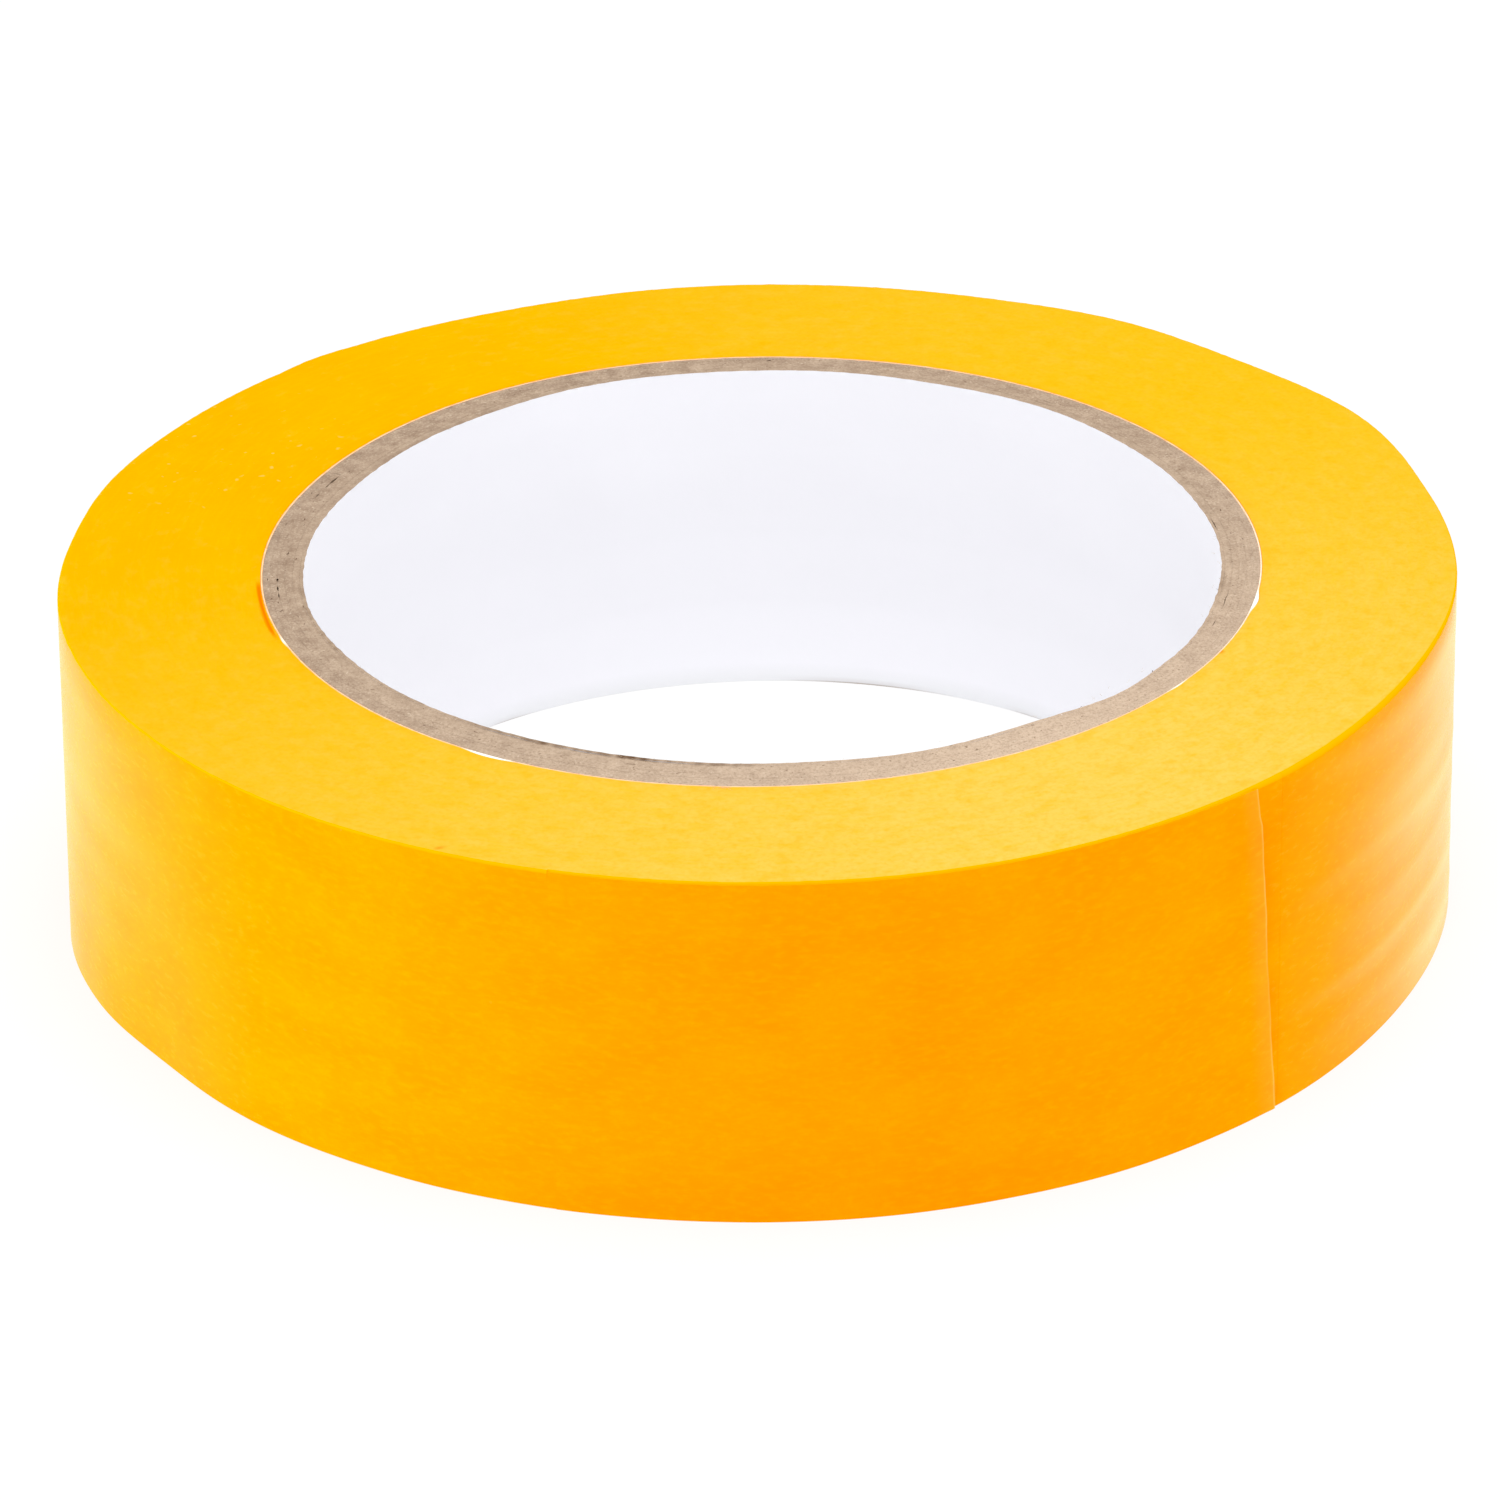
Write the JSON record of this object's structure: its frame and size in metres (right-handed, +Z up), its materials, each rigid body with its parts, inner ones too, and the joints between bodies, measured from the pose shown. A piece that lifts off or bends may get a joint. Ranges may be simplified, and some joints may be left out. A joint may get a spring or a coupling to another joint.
{
  "type": "masking tape roll",
  "caption": "Roll of orange paper masking tape on a spirally wound cardboard core, with a free end that peels off its outer turn.",
  "frame": {"origin": "middle of the face that the roll stands on, on the axis of its core", "axes": "+Z up along the axis of the core; the tape's end lies at 45 degrees between +X and -Y and the tape is wound anticlockwise seen from above"},
  "size_m": [0.1159, 0.1159, 0.03],
  "materials": {
    "white_paper": "smooth matte bleached paper",
    "chipboard": "raw cut grey-brown board with visible fibres",
    "tape_paper": "thin dyed washi paper, satin on its face, with an adhesive back"
  },
  "bodies": {
    "roll": {"core_liner": "white_paper", "core_ply_1": "chipboard", "core_ply_2": "chipboard", "core_ply_3": "chipboard", "core_ply_4": "chipboard", "core_ply_5": "chipboard", "core_outer_wrap": "white_paper", "tape_pack": "tape_paper"},
    "lead_1": {"tape_lead_1": "tape_paper"},
    "lead_2": {"tape_lead_2": "tape_paper"},
    "lead_3": {"tape_lead_3": "tape_paper"},
    "lead_4": {"tape_lead_4": "tape_paper"},
    "lead_5": {"tape_lead_5": "tape_paper"},
    "lead_6": {"tape_lead_6": "tape_paper"},
    "lead_7": {"tape_lead_7": "tape_paper"},
    "lead_8": {"tape_lead_8": "tape_paper"},
    "lead_9": {"tape_lead_9": "tape_paper"},
    "lead_10": {"tape_lead_10": "tape_paper"},
    "lead_11": {"tape_lead_11": "tape_paper"},
    "lead_12": {"tape_lead_12": "tape_paper"}
  },
  "joints": [
    {"name": "peel_root", "type": "hinge", "parent": "roll", "child": "lead_1", "pos_m": [-0.01501, -0.05601, 0.015], "axis": [0, 0, -1], "range_deg": [0, 12]},
    {"name": "peel_root_2", "type": "hinge", "parent": "lead_1", "child": "lead_2", "pos_m": [-0.01007, -0.0571, 0.015], "axis": [0, 0, -1], "range_deg": [0, 12]},
    {"name": "peel_root_3", "type": "hinge", "parent": "lead_2", "child": "lead_3", "pos_m": [-0.00505, -0.05776, 0.015], "axis": [0, 0, -1], "range_deg": [0, 12]},
    {"name": "peel_inner", "type": "hinge", "parent": "lead_3", "child": "lead_4", "pos_m": [0, -0.05799, 0.015], "axis": [0, 0, -1], "range_deg": [0, 12]},
    {"name": "peel_inner_2", "type": "hinge", "parent": "lead_4", "child": "lead_5", "pos_m": [0.00505, -0.05777, 0.015], "axis": [0, 0, -1], "range_deg": [0, 12]},
    {"name": "peel_inner_3", "type": "hinge", "parent": "lead_5", "child": "lead_6", "pos_m": [0.01007, -0.05711, 0.015], "axis": [0, 0, -1], "range_deg": [0, 12]},
    {"name": "peel_outer", "type": "hinge", "parent": "lead_6", "child": "lead_7", "pos_m": [0.01501, -0.05602, 0.015], "axis": [0, 0, -1], "range_deg": [0, 12]},
    {"name": "peel_outer_2", "type": "hinge", "parent": "lead_7", "child": "lead_8", "pos_m": [0.01983, -0.0545, 0.015], "axis": [0, 0, -1], "range_deg": [0, 12]},
    {"name": "peel_outer_3", "type": "hinge", "parent": "lead_8", "child": "lead_9", "pos_m": [0.02451, -0.05256, 0.015], "axis": [0, 0, -1], "range_deg": [0, 12]},
    {"name": "peel_tip", "type": "hinge", "parent": "lead_9", "child": "lead_10", "pos_m": [0.029, -0.05023, 0.015], "axis": [0, 0, -1], "range_deg": [0, 12]},
    {"name": "peel_tip_2", "type": "hinge", "parent": "lead_10", "child": "lead_11", "pos_m": [0.03327, -0.04751, 0.015], "axis": [0, 0, -1], "range_deg": [0, 12]},
    {"name": "peel_tip_3", "type": "hinge", "parent": "lead_11", "child": "lead_12", "pos_m": [0.03728, -0.04443, 0.015], "axis": [0, 0, -1], "range_deg": [0, 12]}
  ],
  "couplings": [
    {"joint": "peel_root_2", "follows": "peel_root", "ratio": 1},
    {"joint": "peel_root_3", "follows": "peel_root", "ratio": 1},
    {"joint": "peel_inner_2", "follows": "peel_inner", "ratio": 1},
    {"joint": "peel_inner_3", "follows": "peel_inner", "ratio": 1},
    {"joint": "peel_outer_2", "follows": "peel_outer", "ratio": 1},
    {"joint": "peel_outer_3", "follows": "peel_outer", "ratio": 1},
    {"joint": "peel_tip_2", "follows": "peel_tip", "ratio": 1},
    {"joint": "peel_tip_3", "follows": "peel_tip", "ratio": 1}
  ]
}
